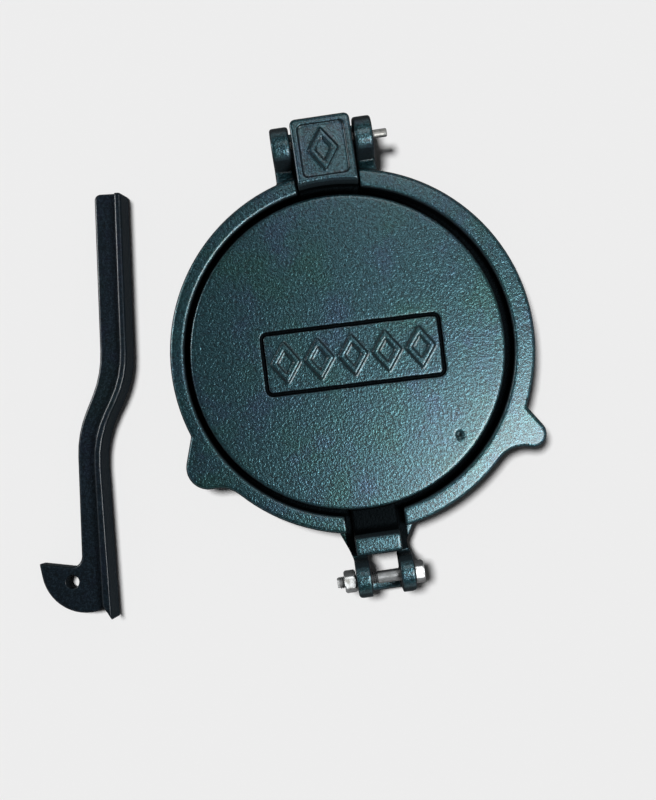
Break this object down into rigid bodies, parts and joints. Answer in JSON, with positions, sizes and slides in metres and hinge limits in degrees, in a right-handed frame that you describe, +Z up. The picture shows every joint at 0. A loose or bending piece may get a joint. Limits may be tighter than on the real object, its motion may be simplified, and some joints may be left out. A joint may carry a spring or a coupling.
{
  "type": "roti press",
  "caption": "Cast-iron hand press for small flatbreads, lid closed on its rimmed base, with its cranked cam lever taken off and lying beside it.",
  "frame": {"origin": "middle of the rectangle that the press and its lever take up on the bench, at bench height", "axes": "+X to the right, +Y from the clevis to the hinge, +Z up from the bench"},
  "size_m": [0.2128, 0.1922, 0.032],
  "materials": {
    "enamelled_iron": "hammered enamel",
    "dark_enamelled_iron": "hammered enamel",
    "zinc_plated_steel": "zinc plated"
  },
  "bodies": {
    "base": {"base_casting": "enamelled_iron", "hinge_pin": "zinc_plated_steel", "lever_bolt": "zinc_plated_steel", "lever_nut": "zinc_plated_steel"},
    "lid": {"lid_casting": "enamelled_iron"},
    "lever": {"lever_casting": "dark_enamelled_iron"}
  },
  "joints": [
    {"name": "lid_hinge", "type": "hinge", "parent": "base", "child": "lid", "pos_m": [0.0331, 0.0869, 0.024], "axis": [-1, 0, 0], "range_deg": [0, 105]},
    {"name": "lever_lift", "type": "slide", "parent": "base", "child": "lever", "axis": [0, 0, 1], "range_m": [0, 0.08]}
  ]
}
